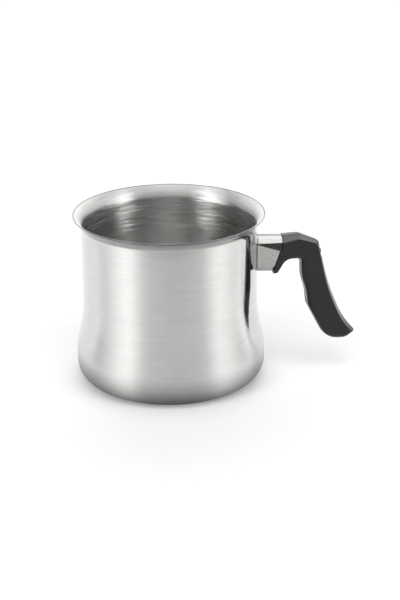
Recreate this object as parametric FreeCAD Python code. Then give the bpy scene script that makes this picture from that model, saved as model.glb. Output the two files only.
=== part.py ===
import FreeCAD, Part
import math
import os

# A milk pan: a drawn steel vessel with a pistol grip clamped to its neck.
# Lengths are in millimetres and angles in degrees.
# The pan stands on z = 0 with its axis on Z, and the handle points along +X.

# Vessel, as the outer face of the sheet
sheet_thickness = 0.8
rim_height = 126.0
rim_radius = 70.0
lip_bend_radius = 10.0
lip_lean_angle = 62.0
neck_radius = 64.6
waist_flare = 0.45
waist_height = 50.3
waist_bend_radius = 110.0
belly_radius = 70.5
belly_height = 25.2
belly_bend_radius = 17.4
base_bend_radius = 14.1

# Handle line: the fixing screw runs along it, level with the floor
screw_height = 95.0
seat_clearance = 0.25

# Ferrule: a sleeve from the neck to the grip, cut off at a lean
ferrule_length = 15.1
ferrule_half_width = 11.5
ferrule_rise = 10.1
ferrule_crown = 1.4
ferrule_drop = 13.4
ferrule_thickness = 1.0
ferrule_crown_radius = 40.0
ferrule_bottom_radius = 8.0
ferrule_end_radius = 0.6
facet_start_drop = 1.1
facet_end_drop = 5.5
facet_lean_angle = 15.0
joint_lean_angle = 17.5

# Grip, with reaches from the joint, rises and drops from the screw
shoulder_step = 1.0
tongue_clearance = 0.3
tongue_root = 2.0
crest_reach = 15.3
crest_rise = 13.7
crest_radius = 4.0
joint_rise = 11.85
heel_reach = 30.1
heel_rise = 8.1
heel_radius = 2.6
tip_reach = 58.8
tip_drop = 63.3
upper_back_radius = 150.0
lower_back_radius = 60.0
toe_length = 7.0
toe_drop = 5.1
toe_radius = 8.0
sole_length = 16.3
sole_rise = 0.6
sole_radius = 14.0
knee_reach = 21.2
knee_drop = 40.0
knee_radius = 10.0
groove_reach = 20.1
groove_drop = 29.5
groove_radius = 30.0
finger_reach = 16.0
finger_radius = 4.0
rest_reach = 16.5
rest_drop = 17.5
rest_radius = 20.0
arch_drop = 4.2
arch_radius = 9.0
jaw_root_reach = 6.6
jaw_tip_reach = 0.6
jaw_drop = 14.6
crown_inset = 2.0
side_lean_angle = 22.8
side_taper_angle = 14.0
side_blend_radius = 40.0
grip_edge_radius = 4.0
back_edge_radius = 0.5

# Back of the grip between heel and tip: shares of that step, outwards and down
back_curve_shares = ((0.275, 0.476), (0.66, 0.845))

# Bracket: a strap bent to a hat, welded to the neck by its feet
strap_thickness = 1.2
strap_half_width = 6.5
strap_bend_radius = 1.6
web_depth = 6.9
arm_half_height = 5.6
foot_half_height = 7.8

# Screw, washers and nut
screw_radius = 2.0
screw_hole_clearance = 0.2
screw_tip_gap = 1.8
screw_tip_chamfer = 0.6
head_radius = 3.5
head_height = 3.2
head_edge_height = 1.4
recess_clearance = 0.25
head_proud = 2.1
driver_slot_width = 0.9
driver_slot_length = 4.2
driver_slot_depth = 1.8
flat_washer_radius = 4.0
flat_washer_thickness = 0.8
lock_washer_radius = 3.4
lock_washer_thickness = 1.1
lock_washer_slit = 0.7
nut_half_width = 3.5
nut_thickness = 2.2
nut_chamfer = 0.4

# Cuts run past the faces they open by this much
overrun = 6.0

waist_radius = neck_radius + waist_flare
joint_reach = neck_radius + ferrule_length
grip_half_width = ferrule_half_width + shoulder_step
web_front = neck_radius + web_depth
screw_hole_radius = screw_radius + screw_hole_clearance
along_x = FreeCAD.Vector(1, 0, 0)
along_y = FreeCAD.Vector(0, 1, 0)
along_z = FreeCAD.Vector(0, 0, 1)


def side_view(x, z):
    """Point of the middle plane, which the handle is drawn in."""
    return FreeCAD.Vector(x, 0, z)


def end_view(y, z):
    """Point of the plane across the handle line."""
    return FreeCAD.Vector(0, y, z)


def legs(corners, closed):
    """Unit directions of the straight legs between (a, b, radius) corners."""
    following = corners[1:] + corners[:1] if closed else corners[1:]
    directions = []
    for (a, b, _), (c, d, _) in zip(corners, following):
        length = math.hypot(c - a, d - b)
        directions.append(((c - a) / length, (d - b) / length))
    return directions


def shifted(corners, distance, closed=False):
    """The same path moved to its left; its round corners stay concentric."""
    directions = legs(corners, closed)
    moved = []
    for index, (a, b, radius) in enumerate(corners):
        before = directions[index - 1] if closed or index > 0 else directions[0]
        after = directions[index] if index < len(directions) else directions[-1]
        turn = before[0] * after[1] - before[1] * after[0]
        spread = 1 + before[0] * after[0] + before[1] * after[1]
        a_new = a - distance * (before[1] + after[1]) / spread
        b_new = b + distance * (before[0] + after[0]) / spread
        grown = radius - math.copysign(distance, turn) if radius else radius
        moved.append((a_new, b_new, grown))
    return moved


def path_edges(corners, view, closed=False):
    """Lines and tangent arcs through the corners, placed by a view."""
    points = [view(a, b) for a, b, _ in corners]
    count = len(points)
    stops = []
    for index, (_, _, radius) in enumerate(corners):
        if not radius:
            stops.append((points[index], None, points[index]))
            continue
        back = (points[index - 1] - points[index]).normalize()
        ahead = (points[(index + 1) % count] - points[index]).normalize()
        half_angle = back.getAngle(ahead) / 2
        reach = radius / math.tan(half_angle)
        middle = (back + ahead).normalize() * (radius / math.sin(half_angle) - radius)
        stops.append((points[index] + back * reach, points[index] + middle, points[index] + ahead * reach))
    edges = []
    for index, (start, bulge, end) in enumerate(stops):
        if bulge:
            edges.append(Part.Arc(start, bulge, end).toShape())
        if closed or index < count - 1:
            edges.append(Part.makeLine(end, stops[(index + 1) % count][0]))
    return edges


def vessel_corners():
    """Outer face of the vessel from the middle of the base to the end of the lip."""
    neck_top = rim_height - (rim_radius - neck_radius) / math.tan(math.radians(lip_lean_angle))
    return [
        (0, 0, 0),
        (belly_radius, 0, base_bend_radius),
        (belly_radius, belly_height, belly_bend_radius),
        (waist_radius, waist_height, waist_bend_radius),
        (neck_radius, neck_top, lip_bend_radius),
        (rim_radius, rim_height, 0),
    ]


def revolved(edges):
    """Solid turned about the pan's axis."""
    face = Part.Face(Part.Wire(Part.__sortEdges__(edges)))
    return face.revolve(FreeCAD.Vector(), along_z, 360)


def pan_body():
    """Drawn vessel of even sheet with a rounded edge at the lip."""
    outside = vessel_corners()
    inside = shifted(outside, sheet_thickness)
    lip_out = side_view(*outside[-1][:2])
    lip_in = side_view(*inside[-1][:2])
    lean = math.radians(lip_lean_angle)
    lip_way = side_view(math.sin(lean), math.cos(lean))
    lip_end = (lip_out + lip_in) / 2 + lip_way * (sheet_thickness / 2)
    edges = path_edges(outside, side_view)
    edges.append(Part.Arc(lip_out, lip_end, lip_in).toShape())
    edges += path_edges(inside, side_view)
    edges.append(Part.makeLine(side_view(0, 0), side_view(0, sheet_thickness)))
    return revolved(edges)


def vessel_envelope():
    """The vessel filled in and grown by the seat clearance, to cut what is seated on it."""
    grown = shifted(vessel_corners(), -seat_clearance)
    edges = path_edges(grown, side_view)
    foot = side_view(*grown[0][:2])
    rim = side_view(*grown[-1][:2])
    top = side_view(0, rim.z)
    edges += [Part.makeLine(foot, top), Part.makeLine(top, rim)]
    return revolved(edges)


def joint_x(z):
    """Reach of the leaning joint between ferrule and grip at a height."""
    return joint_reach + (z - screw_height) * math.tan(math.radians(joint_lean_angle))


def leaning_block(start_x, past_joint):
    """Block between a plain end and the leaning joint, higher and wider than the handle."""
    low = screw_height - jaw_drop - overrun
    high = screw_height + crest_rise + overrun
    points = [
        side_view(start_x, low),
        side_view(joint_x(low) + past_joint, low),
        side_view(joint_x(high) + past_joint, high),
        side_view(start_x, high),
    ]
    face = Part.Face(Part.makePolygon(points + points[:1]))
    half_width = ferrule_half_width + overrun
    face.translate(along_y * -half_width)
    return face.extrude(along_y * (2 * half_width))


def ferrule_section(inset):
    """Face across the ferrule: crowned top, round bottom corners."""
    top = screw_height + ferrule_rise
    bottom = screw_height - ferrule_drop
    corners = [
        (-ferrule_half_width, bottom, ferrule_bottom_radius),
        (ferrule_half_width, bottom, ferrule_bottom_radius),
        (ferrule_half_width, top, 0),
        (0, top + ferrule_crown, ferrule_crown_radius),
        (-ferrule_half_width, top, 0),
    ]
    edges = path_edges(shifted(corners, inset, closed=True), end_view, closed=True)
    return Part.Face(Part.Wire(edges))


def facet_block(side, inset):
    """Block outside the facet that widens along a top edge of the ferrule towards the grip."""
    top = screw_height + ferrule_rise
    start = FreeCAD.Vector(neck_radius, side * ferrule_half_width, top - facet_start_drop)
    end = FreeCAD.Vector(joint_reach, side * ferrule_half_width, top - facet_end_drop)
    along = (end - start).normalize()
    upright = along.cross(along_y)
    lean = math.radians(facet_lean_angle)
    outwards = along_y * (side * math.cos(lean)) + upright * math.sin(lean)
    upwards = upright * math.cos(lean) - along_y * (side * math.sin(lean))
    low_start = start - outwards * inset - along * overrun
    low_end = end - outwards * inset + along * (ferrule_length + overrun)
    rise = upwards * (ferrule_rise + overrun)
    face = Part.Face(Part.makePolygon([low_start, low_end, low_end + rise, low_start + rise, low_start]))
    return face.extrude(outwards * ferrule_half_width)


def ferrule_bar(inset):
    """Bar of the ferrule's section from the pan's axis to past the joint, with a facet along each top edge."""
    bar = ferrule_section(inset).extrude(along_x * (joint_reach + ferrule_length))
    return bar.cut(facet_block(1, inset)).cut(facet_block(-1, inset))


def handle_ferrule():
    """Thin sleeve, fitted to the neck at one end and rounded over at the leaning end."""
    outside = ferrule_bar(0).common(leaning_block(0, 0))
    end_edges = [edge for edge in outside.Edges if on_joint(edge)]
    outside = outside.makeFillet(ferrule_end_radius, end_edges)
    return outside.cut(ferrule_bar(ferrule_thickness)).cut(vessel_envelope())


def on_joint(edge):
    """Whether an edge lies in the leaning joint plane."""
    return all(abs(joint_x(vertex.Point.z) - vertex.Point.x) < seat_clearance for vertex in edge.Vertexes)


def grip_points():
    """Heel and tip of the grip in its middle plane."""
    heel = (joint_reach + heel_reach, screw_height + heel_rise)
    tip = (joint_reach + tip_reach, screw_height - tip_drop)
    return heel, tip


def back_corners():
    """Top and back of the grip, from inside the ferrule to the tip."""
    heel, tip = grip_points()
    step = (tip[0] - heel[0], tip[1] - heel[1])
    crest_slope = (crest_rise - joint_rise) / crest_reach
    start_z = screw_height + joint_rise - crest_slope * overrun
    curve = [(heel[0] + step[0] * out, heel[1] + step[1] * down) for out, down in back_curve_shares]
    return [
        (joint_reach - overrun, start_z, 0),
        (joint_reach + crest_reach, screw_height + crest_rise, crest_radius),
        (*heel, heel_radius),
        (*curve[0], upper_back_radius),
        (*curve[1], lower_back_radius),
        (*tip, 0),
    ]


def inner_corners():
    """Toe, sole, finger side and arch of the grip, from the tip to the jaw."""
    _, tip = grip_points()
    toe = (tip[0] - toe_length, tip[1] - toe_drop)
    return [
        (*tip, 0),
        (*toe, toe_radius),
        (toe[0] - sole_length, toe[1] + sole_rise, sole_radius),
        (joint_reach + knee_reach, screw_height - knee_drop, knee_radius),
        (joint_reach + groove_reach, screw_height - groove_drop, groove_radius),
        (joint_reach + rest_reach, screw_height - rest_drop, rest_radius),
        (joint_reach + finger_reach, screw_height - arch_drop, finger_radius),
        (joint_reach + jaw_root_reach, screw_height - arch_drop, arch_radius),
        (joint_reach + jaw_tip_reach, screw_height - jaw_drop, 0),
    ]


def grip_blank():
    """Grip with a ridge along its middle plane, its faces falling away to both sides."""
    jaw_end = (neck_radius, screw_height - jaw_drop, 0)
    outline = back_corners() + inner_corners()[1:] + [jaw_end]
    wires = []
    for y in (-grip_half_width, 0, grip_half_width):
        corners = shifted(outline, -crown_inset * abs(y) / grip_half_width, closed=True)
        wire = Part.Wire(path_edges(corners, side_view, closed=True))
        wire.translate(along_y * y)
        wires.append(wire)
    return Part.makeLoft(wires, True, True)


def side_block(side):
    """Block outside a side face, which is flat by the joint and slopes in towards the back and the tip."""
    lean = math.radians(side_lean_angle)
    inwards = side_view(-math.cos(lean), -math.sin(lean))
    downwards = side_view(math.sin(lean), -math.cos(lean))
    joint_top = side_view(joint_reach, screw_height + joint_rise)
    narrowing = tip_reach * math.tan(math.radians(side_taper_angle))
    corners = [
        (-tip_reach, grip_half_width - narrowing, 0),
        (0, grip_half_width, side_blend_radius),
        (tip_reach, grip_half_width, 0),
        (tip_reach, grip_half_width + tip_reach, 0),
        (-tip_reach, grip_half_width + tip_reach, 0),
    ]
    edges = path_edges(corners, lambda s, y: joint_top + inwards * s + along_y * (side * y), closed=True)
    face = Part.Face(Part.Wire(edges))
    face.translate(downwards * -tip_reach)
    return face.extrude(downwards * (tip_reach + tip_drop + tip_reach))


def is_side(face):
    """Whether a face looks mostly along Y."""
    first_u, last_u, first_v, last_v = face.ParameterRange
    normal = face.normalAt((first_u + last_u) / 2, (first_v + last_v) / 2)
    return abs(normal.y) > math.cos(math.radians(side_lean_angle))


def edges_along(corners, grip):
    """Edges of the side faces that run along a path of the grip, without those at the joint."""
    path = Part.Wire(path_edges(corners, side_view))
    chosen = []
    for face in filter(is_side, grip.Faces):
        for edge in face.Edges:
            middle = edge.valueAt((edge.FirstParameter + edge.LastParameter) / 2)
            in_plane = Part.Vertex(side_view(middle.x, middle.z))
            near = path.distToShape(in_plane)[0] < crown_inset + seat_clearance
            if near and not on_joint(edge):
                chosen.append(edge)
    return chosen


def handle_grip():
    """Pistol grip with a tongue in the ferrule and a stepped hole for the screw."""
    heel, _ = grip_points()
    grip = grip_blank().cut(leaning_block(0, 0))
    grip = grip.cut(side_block(1)).cut(side_block(-1))
    grip = grip.makeFillet(grip_edge_radius, edges_along(inner_corners(), grip))
    grip = grip.makeFillet(back_edge_radius, edges_along(back_corners(), grip))
    tongue = ferrule_bar(ferrule_thickness + tongue_clearance)
    tongue = tongue.common(leaning_block(web_front, tongue_root))
    grip = grip.fuse(tongue).removeSplitter()
    hole = screw_bar(screw_hole_radius, 0, heel[0] + overrun)
    recess = screw_bar(flat_washer_radius + recess_clearance, washer_seat(), heel[0] + overrun)
    return grip.cut(hole).cut(recess)


def screw_bar(radius, start_x, end_x):
    """Round bar along the handle line."""
    return Part.makeCylinder(radius, end_x - start_x, side_view(start_x, screw_height), along_x)


def head_seat():
    """Reach of the bearing face of the screw head; its crown stands proud of the heel."""
    heel, _ = grip_points()
    return heel[0] + head_proud - head_height


def washer_seat():
    """Reach of the floor of the recess that the washers lie on."""
    return head_seat() - lock_washer_thickness - flat_washer_thickness


def ring(outer_radius, inner_radius, start_x, thickness):
    """Flat ring on the handle line."""
    outer = screw_bar(outer_radius, start_x, start_x + thickness)
    return outer.cut(screw_bar(inner_radius, start_x - overrun, start_x + overrun))


def flat_washer():
    """Washer on the floor of the recess."""
    return ring(flat_washer_radius, screw_hole_radius, washer_seat(), flat_washer_thickness)


def lock_washer():
    """Split washer between the flat washer and the head."""
    start_x = washer_seat() + flat_washer_thickness
    washer = ring(lock_washer_radius, screw_hole_radius, start_x, lock_washer_thickness)
    slit = Part.makeBox(lock_washer_thickness, lock_washer_slit, lock_washer_radius)
    slit.translate(FreeCAD.Vector(start_x, -lock_washer_slit / 2, screw_height))
    return washer.cut(slit)


def handle_screw():
    """Domed cross-slot screw from the heel of the grip to the nut."""
    seat = head_seat()
    crown_x = seat + head_height
    edge_x = seat + head_edge_height
    tip_x = neck_radius + screw_tip_gap
    dome_rise = head_height - head_edge_height
    dome_radius = (head_radius ** 2 + dome_rise ** 2) / (2 * dome_rise)
    dome = Part.makeSphere(dome_radius, side_view(crown_x - dome_radius, screw_height))
    head = screw_bar(head_radius, seat, crown_x).common(dome)
    tip_radius = screw_radius - screw_tip_chamfer
    tip_point = side_view(tip_x, screw_height)
    tip = Part.makeCone(tip_radius, screw_radius, screw_tip_chamfer, tip_point, along_x)
    shank = screw_bar(screw_radius, tip_x + screw_tip_chamfer, edge_x).fuse(tip)
    screw = head.fuse(shank).removeSplitter()
    for width, length in ((driver_slot_width, driver_slot_length), (driver_slot_length, driver_slot_width)):
        slot = Part.makeBox(driver_slot_depth + overrun, width, length)
        slot.translate(FreeCAD.Vector(crown_x - driver_slot_depth, -width / 2, screw_height - length / 2))
        screw = screw.cut(slot)
    return screw


def handle_bracket():
    """Hat-shaped strap: two feet on the neck, two arms and a web with the screw hole."""
    foot_x = neck_radius + seat_clearance + strap_thickness
    corners = [
        (foot_x, screw_height - foot_half_height, 0),
        (foot_x, screw_height - arm_half_height, strap_bend_radius - strap_thickness),
        (web_front, screw_height - arm_half_height, strap_bend_radius),
        (web_front, screw_height + arm_half_height, strap_bend_radius),
        (foot_x, screw_height + arm_half_height, strap_bend_radius - strap_thickness),
        (foot_x, screw_height + foot_half_height, 0),
    ]
    inside = shifted(corners, strap_thickness)
    outer_edges = path_edges(corners, side_view)
    inner_edges = path_edges(inside, side_view)
    ends = [Part.makeLine(side_view(*corners[end][:2]), side_view(*inside[end][:2])) for end in (0, -1)]
    strip = Part.Face(Part.Wire(Part.__sortEdges__(outer_edges + inner_edges + ends)))
    strip.translate(along_y * -strap_half_width)
    strap = strip.extrude(along_y * (2 * strap_half_width))
    hole = screw_bar(screw_hole_radius, 0, web_front + overrun)
    return strap.cut(hole).cut(vessel_envelope())


def bracket_nut():
    """Square nut against the back of the web, with its outer corners broken."""
    back_x = web_front - strap_thickness - nut_thickness
    nut = Part.makeBox(nut_thickness, 2 * nut_half_width, 2 * nut_half_width)
    nut.translate(FreeCAD.Vector(back_x, -nut_half_width, screw_height - nut_half_width))
    rear_edges = [edge for edge in nut.Edges if edge.BoundBox.XMax < back_x + nut_chamfer]
    nut = nut.makeChamfer(nut_chamfer, rear_edges)
    return nut.cut(screw_bar(screw_radius + screw_hole_clearance / 2, 0, web_front))


os.makedirs("parts", exist_ok=True)
pieces = (
    pan_body,
    handle_ferrule,
    handle_grip,
    handle_screw,
    lock_washer,
    flat_washer,
    handle_bracket,
    bracket_nut,
)
for piece in pieces:
    shape = piece()
    print(piece.__name__, shape.isValid(), len(shape.Solids), round(shape.Volume), shape.BoundBox)
    shape.exportStep("parts/" + piece.__name__ + ".step")
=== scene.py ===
import math
from types import SimpleNamespace

import bpy
from mathutils import Matrix, Vector


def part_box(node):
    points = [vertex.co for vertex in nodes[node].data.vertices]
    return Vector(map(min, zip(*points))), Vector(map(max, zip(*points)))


# Milk pan: looks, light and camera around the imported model. Lengths are in metres, angles in degrees.

# Camera, fitted to the photograph
photo_width_px = 400
photo_height_px = 600
focal_px = 1341.1
sensor_width_mm = 36.0
camera_place = (0.0, -0.92914, 0.4330)
camera_target = (0.0222, 0.0, 0.0573)
camera_roll = -0.389

# Floor and background
floor_half_size = 6.0
floor_sink = 0.00005
floor_colour = 0.8
floor_glow = 0.2
background_colour = (1.0, 1.0, 1.0, 1.0)
background_strength = 1.0

# Light zones: azimuth from the camera's side, positive to the right, then half width,
# lowest and highest elevation, and brightness
light_zones = {
    "left_glow": (-72.0, 20.0, -20.0, 10.0, 4.8),
    "left_box": (-51.0, 9.0, 10.0, 24.0, 8.4),
    "left_wing": (-61.0, 18.0, 5.0, 15.0, 5.76),
    "right_glow": (86.0, 20.0, -20.0, 10.0, 3.6),
    "right_box": (61.0, 9.0, 10.0, 24.0, 8.4),
    "right_wing": (70.0, 20.0, 5.0, 15.0, 4.8),
    "left_room": (-23.0, 14.0, -20.0, 5.0, 1.84),
    "right_room": (31.0, 14.0, -20.0, 5.0, 1.92),
    "left_gap": (-116.0, 16.0, -20.0, 36.0, 1.04),
    "right_gap": (118.0, 16.0, -20.0, 36.0, 1.12),
    "backdrop": (181.0, 51.0, -20.0, 24.0, 0.8),
    "back_light": (178.0, 32.0, 12.0, 62.0, 1.36),
    "back_sides": (180.0, 58.0, 24.0, 62.0, 0.64),
    "front_ceiling": (0.0, 68.0, 38.0, 66.0, 1.7),
    "front_top": (0.0, 46.0, 58.0, 80.0, 1.9),
    "ceiling": (0.0, 200.0, 62.0, 120.0, 0.32),
}
zone_softness = 6.0
gap_light = 0.016

# Shared by the materials: the noise's middle, the part of its range that marks use, samples of a soft edge
noise_middle = 0.5
mark_spread = (0.3, 0.7)
edge_samples = 8

# Vessel, streaks: scales up the wall, to the metre, and round it, and offsets that keep the patterns apart
fine_streaks = 3200.0
broad_streaks = 480.0
inside_streaks = 600.0
inside_rows = 1100.0
streaks_around = 3.0
streak_detail = 3.0
streak_roughness = 0.6
broad_shift = 7.0
sway_shift = 3.0
inside_sway_shift = 5.0
inside_rows_shift = 11.0
cloud_scale = 28.0
cloud_detail = 3.0
broad_share = 0.6
cloud_share = 0.3

# Vessel, zones: the inside by its normal, the lip and the flare by how far they lie below the rim's top,
# and the bottom by its height
inside_turn = (0.1, -0.1)
lip_drop = 0.00825
lip_fade = 0.002
flare_drop = 0.00695
flare_fade = 0.0012
bottom_heights = (0.012, 0.005)

# Vessel, how far the streaks lean the normal
outside_upright_tilt = 0.07
inside_upright_tilt = 0.9
outside_sideways_tilt = 0.08
inside_sideways_tilt = 0.4
lip_tilt = 0.3
bottom_tilt = 0.15

# Vessel, gloss: stretch and turn of the brushed reflection, roughness over the marks,
# and the shares of it at a grazing angle and on the flare
brush_anisotropy = 0.89
brush_turn_share = 0.25
outside_roughness = (0.56, 0.62)
inside_roughness = (0.27, 0.3)
lip_roughness = 0.5
grazing_slant = (0.35, 0.55)
grazing_heights = (0.012, 0.048)
grazing_share = 0.08
flare_gloss_share = 0.3

# Vessel, colour over the marks and the shares of it that the zones keep; these shares are painted shade and
# painted light
steel_dark = (0.62, 0.615, 0.605)
steel_light = (0.72, 0.715, 0.705)
# Painted shade: the outside of the flare is darker, standing in for the dark reflection under the rim
flare_painted_shade_share = 0.5
# Painted shade a touch darker inside, and painted light on the lip, which is lighter
inside_painted_shade_share = 0.95
lip_painted_light_share = 1.1
# Painted shade: the outside darkens towards the base, standing in for the reflection of the pan's shadow on
# the floor
base_painted_shade_share = 0.18
base_painted_shade_height = 0.027

# Vessel, painted shade on the rim's round edge, a dark line standing in for the dark reflection along it,
# also rougher: radius of its round, reach from its middle, and facing of its bright top
rim_edge_round = 0.0005
rim_edge_reach = 0.0008
rim_edge_fade = 0.00015
rim_edge_painted_shade_colour = (0.08, 0.08, 0.08)
rim_edge_roughness = 0.4
rim_top_facing = 0.2
rim_top_spread = (0.3, 0.45)

# Ferrule
ferrule_edge = 0.0007
ferrule_rub_scale = (500.0, 1500.0, 1500.0)
ferrule_rub_detail = 3.0
ferrule_grain_scale = 1600.0
ferrule_grain_detail = 2.0
ferrule_grain_share = 0.5
ferrule_dark = (0.28, 0.276, 0.268)
ferrule_light = (0.46, 0.455, 0.445)
ferrule_roughness = (0.12, 0.22)
ferrule_bump = 0.3
ferrule_bump_depth = 0.00004

# Grip, and the moulding line round its middle
grip_edge = 0.0008
grip_grain_scale = 2200.0
grip_grain_detail = 2.0
grip_grain_share = 0.02
grip_mottle_scale = 45.0
grip_mottle_detail = 3.0
grip_dark = (0.005, 0.0049, 0.005)
grip_light = (0.008, 0.0077, 0.008)
grip_roughness = (0.2, 0.26)
grip_ior = 1.4
grip_bump = 0.8
grip_bump_depth = 0.0006
line_half_width = 0.0009
line_fade_shares = (1.3, 0.7)
line_colour = (0.003, 0.003, 0.003)
line_roughness = 0.6

# Fixings: each finish has a dark and a light colour and a lowest and a highest roughness
fixing_mottle_scale = 900.0
fixing_mottle_detail = 4.0
fixing_bump = 0.15
fixing_bump_depth = 0.00005
fixing_finishes = {
    "zinc_plate": ((0.55, 0.55, 0.56), (0.68, 0.68, 0.68), 0.22, 0.36),
    "black_oxide": ((0.02, 0.02, 0.021), (0.05, 0.05, 0.05), 0.3, 0.45),
    "mill_strap": ((0.5, 0.495, 0.485), (0.6, 0.595, 0.58), 0.3, 0.45),
}
finish_of_fixing = {
    "handle_screw": "black_oxide",
    "lock_washer": "zinc_plate",
    "flat_washer": "zinc_plate",
    "bracket_nut": "zinc_plate",
    "handle_bracket": "mill_strap",
}

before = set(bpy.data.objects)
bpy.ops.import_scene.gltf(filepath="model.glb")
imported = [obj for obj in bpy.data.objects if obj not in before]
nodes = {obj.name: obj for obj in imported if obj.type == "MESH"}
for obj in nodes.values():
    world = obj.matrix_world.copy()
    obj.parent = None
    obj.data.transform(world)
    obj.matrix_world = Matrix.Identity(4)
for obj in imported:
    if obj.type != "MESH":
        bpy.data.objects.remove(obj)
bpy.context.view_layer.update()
scene = bpy.context.scene

# Places on the vessel, from the frame
pan_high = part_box("pan_body")[1]
lip_height = pan_high.z - lip_drop
flare_height = pan_high.z - flare_drop
rim_edge_height = pan_high.z - rim_edge_round
rim_edge_radius = pan_high.x - rim_edge_round


# Node helpers


def wire(tree, kind, inputs, **settings):
    """Adds a shader node, fills its inputs with values or other nodes' outputs, and gives its outputs."""
    node = tree.nodes.new("ShaderNode" + kind)
    for name, value in settings.items():
        setattr(node, name, value)
    for key, value in inputs.items():
        if isinstance(value, bpy.types.NodeSocket):
            tree.links.new(value, node.inputs[key])
        else:
            node.inputs[key].default_value = value
    return node.outputs


def math_step(tree, operation, first, second=0.0):
    """One step of arithmetic on numbers."""
    return wire(tree, "Math", {0: first, 1: second}, operation=operation)[0]


def vector_step(tree, operation, first, second=(0.0, 0.0, 0.0)):
    """One step of arithmetic on vectors that gives a vector."""
    return wire(tree, "VectorMath", {0: first, 1: second}, operation=operation)["Vector"]


def scaled(tree, vector, amount):
    """Vector times a number."""
    return wire(tree, "VectorMath", {0: vector, "Scale": amount}, operation="SCALE")["Vector"]


def length_of(tree, vector):
    """Length of a vector."""
    return wire(tree, "VectorMath", {0: vector}, operation="LENGTH")["Value"]


def ramp(tree, value, start, end, low=0.0, high=1.0):
    """Smooth step from low at start to high at end."""
    inputs = {"Value": value, "From Min": start, "From Max": end, "To Min": low, "To Max": high}
    return wire(tree, "MapRange", inputs, interpolation_type="SMOOTHSTEP")[0]


def blended(tree, share, first, second):
    """Number between two numbers."""
    return wire(tree, "Mix", {"Factor": share, "A": first, "B": second}, data_type="FLOAT")["Result"]


def blended_colour(tree, share, first, second):
    """Colour between two colours."""
    outputs = wire(tree, "Mix", {"Factor": share}, data_type="RGBA")
    mix = tree.nodes[-1]
    sockets = [socket for socket in mix.inputs if socket.type == "RGBA"]
    for socket, value in zip(sockets, (first, second)):
        if isinstance(value, bpy.types.NodeSocket):
            tree.links.new(value, socket)
        else:
            socket.default_value = (*value, 1.0)
    return [socket for socket in outputs if socket.type == "RGBA"][0]


def noise(tree, place, scale, detail):
    """Cloudy noise about its middle."""
    return wire(tree, "TexNoise", {"Vector": place, "Scale": scale, "Detail": detail})["Fac"]


def soft_edges(tree, radius):
    """Normal that rounds the edges off."""
    return wire(tree, "Bevel", {"Radius": radius}, samples=edge_samples)[0]


def new_material(name):
    """Empty node material and its tree."""
    material = bpy.data.materials.new(name)
    material.use_nodes = True
    material.node_tree.nodes.clear()
    return material, material.node_tree


def close(tree, surface):
    """Sends a shader to the material's output."""
    wire(tree, "OutputMaterial", {"Surface": surface})


def dress(node, material):
    """Gives a CAD node its material."""
    mesh = nodes[node].data
    mesh.materials.clear()
    mesh.materials.append(material)


# Brushed steel of the vessel


def pan_surface(tree):
    """Where a point lies on the vessel, the ways round and up from it, and its share of each zone."""
    place = wire(tree, "TexCoord", {})["Object"]
    normal = wire(tree, "NewGeometry", {})["Normal"]
    height = wire(tree, "SeparateXYZ", {0: place})["Z"]
    rising = wire(tree, "SeparateXYZ", {0: normal})["Z"]
    level = vector_step(tree, "MULTIPLY", place, (1.0, 1.0, 0.0))
    outwards = vector_step(tree, "NORMALIZE", level)
    along = vector_step(tree, "CROSS_PRODUCT", (0.0, 0.0, 1.0), outwards)
    facing = wire(tree, "VectorMath", {0: normal, 1: outwards}, operation="DOT_PRODUCT")["Value"]
    return SimpleNamespace(
        place=place,
        normal=normal,
        height=height,
        radius=length_of(tree, level),
        outwards=outwards,
        along=along,
        upwards=vector_step(tree, "CROSS_PRODUCT", normal, along),
        facing=facing,
        inside=ramp(tree, math_step(tree, "SUBTRACT", facing, rising), *inside_turn),
        lip=ramp(tree, height, lip_height - lip_fade, lip_height + lip_fade),
        flare=ramp(tree, height, flare_height - flare_fade, flare_height + flare_fade),
        bottom=ramp(tree, height, *bottom_heights),
    )


def streaks(tree, spot, across, shift=0.0):
    """Noise drawn out into fine rings round the pan's axis."""
    drawn = scaled(tree, spot.outwards, streaks_around)
    lift = wire(tree, "CombineXYZ", {"Z": math_step(tree, "MULTIPLY", spot.height, across)})[0]
    ring = math_step(tree, "ADD", math_step(tree, "MULTIPLY", spot.radius, across), shift)
    inputs = {
        "Vector": vector_step(tree, "ADD", drawn, lift),
        "W": ring,
        "Scale": 1.0,
        "Detail": streak_detail,
        "Roughness": streak_roughness,
    }
    return wire(tree, "TexNoise", inputs, noise_dimensions="4D")["Fac"]


def tilted(tree, normal, way, pattern, amount):
    """Normal leant along a direction by a noise about its middle."""
    lean = math_step(tree, "MULTIPLY", math_step(tree, "SUBTRACT", pattern, noise_middle), amount)
    return vector_step(tree, "ADD", normal, scaled(tree, way, lean))


def sharpness(tree, spot):
    """Share of the outside roughness that stays: less on the flare and at a grazing angle above the base."""
    slant = wire(tree, "LayerWeight", {})["Facing"]
    grazing = ramp(tree, slant, *grazing_slant, 1.0, grazing_share)
    grazing = blended(tree, ramp(tree, spot.height, *grazing_heights), 1.0, grazing)
    return blended(tree, spot.flare, grazing, flare_gloss_share)


def steel_colour(tree, spot, mark):
    """Grey of the marks, with painted shade darker towards the base and under the flare, and painted shares
    of it inside: a touch of shade below the lip, light on the lip.
    """
    grey = blended_colour(tree, ramp(tree, mark, *mark_spread), steel_dark, steel_light)
    # Painted shade outside: darker towards the base and on the outside of the flare
    outside = ramp(tree, spot.height, 0.0, base_painted_shade_height, base_painted_shade_share)
    outside = blended(tree, spot.flare, outside, flare_painted_shade_share)
    # Painted shade a touch darker inside and painted light on the lip
    inside = blended(tree, spot.lip, inside_painted_shade_share, lip_painted_light_share)
    return scaled(tree, grey, blended(tree, spot.inside, outside, inside))


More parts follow.
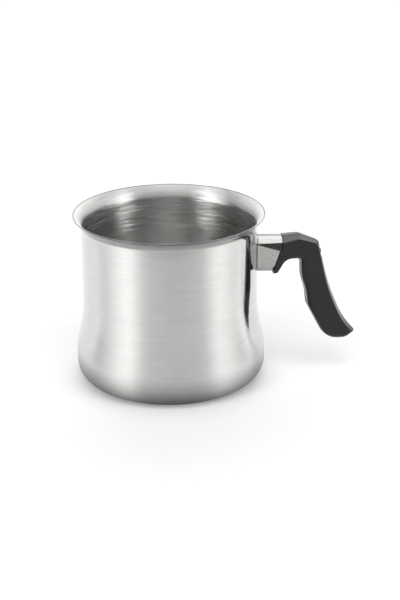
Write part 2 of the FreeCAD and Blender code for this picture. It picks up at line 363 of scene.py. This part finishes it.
def steel_roughness(tree, spot, mark, sharper):
    """Satin outside, less rough where the reflection is sharper, and glossier inside below the lip."""
    outside = ramp(tree, mark, *mark_spread, *outside_roughness)
    outside = math_step(tree, "MULTIPLY", outside, sharper)
    inside = ramp(tree, mark, *mark_spread, *inside_roughness)
    inside = blended(tree, spot.lip, inside, lip_roughness)
    return blended(tree, spot.inside, outside, inside)


def steel_normal(tree, spot, broad, sharper):
    """Normal leant up and down and then sideways by the streaks, calmer on the lip and the bottom."""
    rows = streaks(tree, spot, inside_rows, inside_rows_shift)
    outside = math_step(tree, "MULTIPLY", sharper, outside_upright_tilt)
    inside = blended(tree, spot.lip, inside_upright_tilt, lip_tilt)
    inside = blended(tree, spot.bottom, inside, bottom_tilt)
    lean = blended(tree, spot.inside, outside, inside)
    normal = tilted(tree, spot.normal, spot.upwards, blended(tree, spot.inside, broad, rows), lean)

    fine = streaks(tree, spot, fine_streaks, sway_shift)
    coarse = streaks(tree, spot, inside_streaks, inside_sway_shift)
    outside = math_step(tree, "MULTIPLY", sharper, outside_sideways_tilt)
    inside = blended(tree, spot.bottom, inside_sideways_tilt, bottom_tilt)
    sway = blended(tree, spot.inside, outside, inside)
    normal = tilted(tree, normal, spot.along, blended(tree, spot.inside, fine, coarse), sway)
    return vector_step(tree, "NORMALIZE", normal)


def rim_edge(tree, spot):
    """Share of the painted dark line: 1 on both sides of the rim's round edge, 0 on its bright top and
    everywhere else.
    """
    out_gap = math_step(tree, "SUBTRACT", spot.radius, rim_edge_radius)
    up_gap = math_step(tree, "SUBTRACT", spot.height, rim_edge_height)
    gap = length_of(tree, wire(tree, "CombineXYZ", {"X": out_gap, "Y": up_gap})[0])
    near = ramp(tree, gap, rim_edge_reach + rim_edge_fade, rim_edge_reach - rim_edge_fade)
    off_top = math_step(tree, "ABSOLUTE", math_step(tree, "SUBTRACT", spot.facing, rim_top_facing))
    return math_step(tree, "MULTIPLY", near, ramp(tree, off_top, *rim_top_spread))


def brushed_steel():
    """Steel brushed round the axis: satin outside, coarser and glossier inside, with painted shade towards
    the base, under the flare and as a dark line at the rim's edge, and painted light on the lip.
    """
    material, tree = new_material("brushed_steel")
    spot = pan_surface(tree)
    fine = streaks(tree, spot, fine_streaks)
    broad = streaks(tree, spot, broad_streaks, broad_shift)
    cloud = noise(tree, spot.place, cloud_scale, cloud_detail)
    mark = blended(tree, cloud_share, blended(tree, broad_share, fine, broad), cloud)
    sharper = sharpness(tree, spot)
    edge = rim_edge(tree, spot)
    colour = steel_colour(tree, spot, mark)
    roughness = steel_roughness(tree, spot, mark, sharper)
    inputs = {
        # Painted shade: a dark line on the rim's round edge
        "Base Color": blended_colour(tree, edge, colour, rim_edge_painted_shade_colour),
        "Metallic": 1.0,
        "Roughness": blended(tree, edge, roughness, rim_edge_roughness),
        "Anisotropic": brush_anisotropy,
        "Anisotropic Rotation": brush_turn_share,
        "Tangent": wire(tree, "Tangent", {}, direction_type="RADIAL", axis="Z")[0],
        "Normal": steel_normal(tree, spot, broad, sharper),
    }
    close(tree, wire(tree, "BsdfPrincipled", inputs)[0])
    return material


# Polished steel of the ferrule


def polished_steel():
    """Satin sheet with fine rubbing marks, grain and softened edges."""
    material, tree = new_material("polished_steel")
    place = wire(tree, "TexCoord", {})["Object"]
    stretched = wire(tree, "Mapping", {"Vector": place, "Scale": ferrule_rub_scale})[0]
    rub = noise(tree, stretched, 1.0, ferrule_rub_detail)
    grain = noise(tree, place, ferrule_grain_scale, ferrule_grain_detail)
    mark = blended(tree, ferrule_grain_share, rub, grain)
    relief = {
        "Height": mark,
        "Strength": ferrule_bump,
        "Distance": ferrule_bump_depth,
        "Normal": soft_edges(tree, ferrule_edge),
    }
    inputs = {
        "Base Color": blended_colour(tree, ramp(tree, mark, *mark_spread), ferrule_dark, ferrule_light),
        "Metallic": 1.0,
        "Roughness": ramp(tree, mark, *mark_spread, *ferrule_roughness),
        "Normal": wire(tree, "Bump", relief)[0],
    }
    close(tree, wire(tree, "BsdfPrincipled", inputs)[0])
    return material


# Black phenolic of the grip


def black_phenolic():
    """Moulded phenolic: fine grain, slight mottling, softened edges and a moulding line round the middle."""
    material, tree = new_material("black_phenolic")
    place = wire(tree, "TexCoord", {})["Object"]
    across = math_step(tree, "ABSOLUTE", wire(tree, "SeparateXYZ", {0: place})["Y"])
    line = ramp(tree, across, *(share * line_half_width for share in line_fade_shares))
    grain = noise(tree, place, grip_grain_scale, grip_grain_detail)
    mottle = noise(tree, place, grip_mottle_scale, grip_mottle_detail)
    colour = blended_colour(tree, mottle, grip_dark, grip_light)
    roughness = ramp(tree, mottle, *mark_spread, *grip_roughness)
    relief = {
        "Height": math_step(tree, "SUBTRACT", math_step(tree, "MULTIPLY", grain, grip_grain_share), line),
        "Strength": grip_bump,
        "Distance": grip_bump_depth,
        "Normal": soft_edges(tree, grip_edge),
    }
    inputs = {
        "Base Color": blended_colour(tree, line, colour, line_colour),
        "Roughness": blended(tree, line, roughness, line_roughness),
        "IOR": grip_ior,
        "Normal": wire(tree, "Bump", relief)[0],
    }
    close(tree, wire(tree, "BsdfPrincipled", inputs)[0])
    return material


# Zinc plate, black oxide and mill finish of the fixings


def fixing_steel(name, dark, light, rough_low, rough_high):
    """Small steel piece with a mottled plate or mill finish."""
    material, tree = new_material(name)
    place = wire(tree, "TexCoord", {})["Object"]
    mottle = noise(tree, place, fixing_mottle_scale, fixing_mottle_detail)
    relief = {"Height": mottle, "Strength": fixing_bump, "Distance": fixing_bump_depth}
    inputs = {
        "Base Color": blended_colour(tree, mottle, dark, light),
        "Metallic": 1.0,
        "Roughness": ramp(tree, mottle, *mark_spread, rough_low, rough_high),
        "Normal": wire(tree, "Bump", relief)[0],
    }
    close(tree, wire(tree, "BsdfPrincipled", inputs)[0])
    return material


# Floor


def white_floor():
    """Pale table that keeps the pan's shadow and glows a little where it is seen, also in metal or glass."""
    material, tree = new_material("white_floor")
    path = wire(tree, "LightPath", {})
    mirrored = math_step(tree, "MAXIMUM", path["Is Glossy Ray"], path["Is Transmission Ray"])
    seen = math_step(tree, "MAXIMUM", path["Is Camera Ray"], mirrored)
    matt = wire(tree, "BsdfDiffuse", {"Color": (floor_colour, floor_colour, floor_colour, 1.0)})[0]
    glow = wire(tree, "Emission", {"Strength": math_step(tree, "MULTIPLY", seen, floor_glow)})[0]
    close(tree, wire(tree, "AddShader", {0: matt, 1: glow})[0])
    return material


def floor():
    """Table under the pan."""
    corners = [(-1, -1), (1, -1), (1, 1), (-1, 1)]
    mesh = bpy.data.meshes.new("floor")
    points = [(x * floor_half_size, y * floor_half_size, -floor_sink) for x, y in corners]
    mesh.from_pydata(points, [], [(0, 1, 2, 3)])
    mesh.materials.append(white_floor())
    table = bpy.data.objects.new("floor", mesh)
    scene.collection.objects.link(table)


# Light


def light_zone(tree, azimuth, elevation, middle, half_width, low, high, brightness):
    """Soft-edged patch of the surroundings."""
    turn = math_step(tree, "SUBTRACT", azimuth, math.radians(middle))
    turn = wire(tree, "Math", {0: turn, 1: -math.pi, 2: math.pi}, operation="WRAP")[0]
    away = math_step(tree, "ABSOLUTE", turn)
    soft = math.radians(zone_softness)
    within = ramp(tree, away, math.radians(half_width) + soft, math.radians(half_width) - soft)
    above = ramp(tree, elevation, math.radians(low) - soft, math.radians(low) + soft)
    below = ramp(tree, elevation, math.radians(high) + soft, math.radians(high) - soft)
    inside = math_step(tree, "MULTIPLY", math_step(tree, "MULTIPLY", above, below), within)
    return math_step(tree, "MULTIPLY", inside, brightness)


def studio_world():
    """Studio of soft light zones with dim gaps between them; the camera itself sees a white background."""
    world = bpy.data.worlds.new("studio")
    world.use_nodes = True
    tree = world.node_tree
    tree.nodes.clear()
    way = wire(tree, "SeparateXYZ", {0: wire(tree, "TexCoord", {})["Generated"]})
    towards_camera = math_step(tree, "MULTIPLY", way["Y"], -1.0)
    azimuth = math_step(tree, "ARCTAN2", way["X"], towards_camera)
    elevation = math_step(tree, "ARCSINE", way["Z"])
    light = gap_light
    for zone in light_zones.values():
        light = math_step(tree, "ADD", light_zone(tree, azimuth, elevation, *zone), light)
    camera_ray = wire(tree, "LightPath", {})["Is Camera Ray"]
    strength = blended(tree, camera_ray, light, background_strength)
    sky = wire(tree, "Background", {"Color": background_colour, "Strength": strength})[0]
    wire(tree, "OutputWorld", {"Surface": sky})
    scene.world = world


# Camera


def camera():
    """Camera at the photograph's place."""
    data = bpy.data.cameras.new("camera")
    data.sensor_width = sensor_width_mm
    data.lens = focal_px * sensor_width_mm / max(photo_width_px, photo_height_px)
    holder = bpy.data.objects.new("camera", data)
    look = Vector(camera_target) - Vector(camera_place)
    turn = look.to_track_quat("-Z", "Y").to_matrix().to_4x4()
    roll = Matrix.Rotation(math.radians(camera_roll), 4, "Z")
    holder.matrix_world = Matrix.Translation(camera_place) @ turn @ roll
    scene.collection.objects.link(holder)
    scene.camera = holder


dress("pan_body", brushed_steel())
dress("handle_ferrule", polished_steel())
dress("handle_grip", black_phenolic())
finishes = {name: fixing_steel(name, *finish) for name, finish in fixing_finishes.items()}
for fixing, name in finish_of_fixing.items():
    dress(fixing, finishes[name])
floor()
studio_world()
camera()
scene.view_settings.view_transform = "Standard"
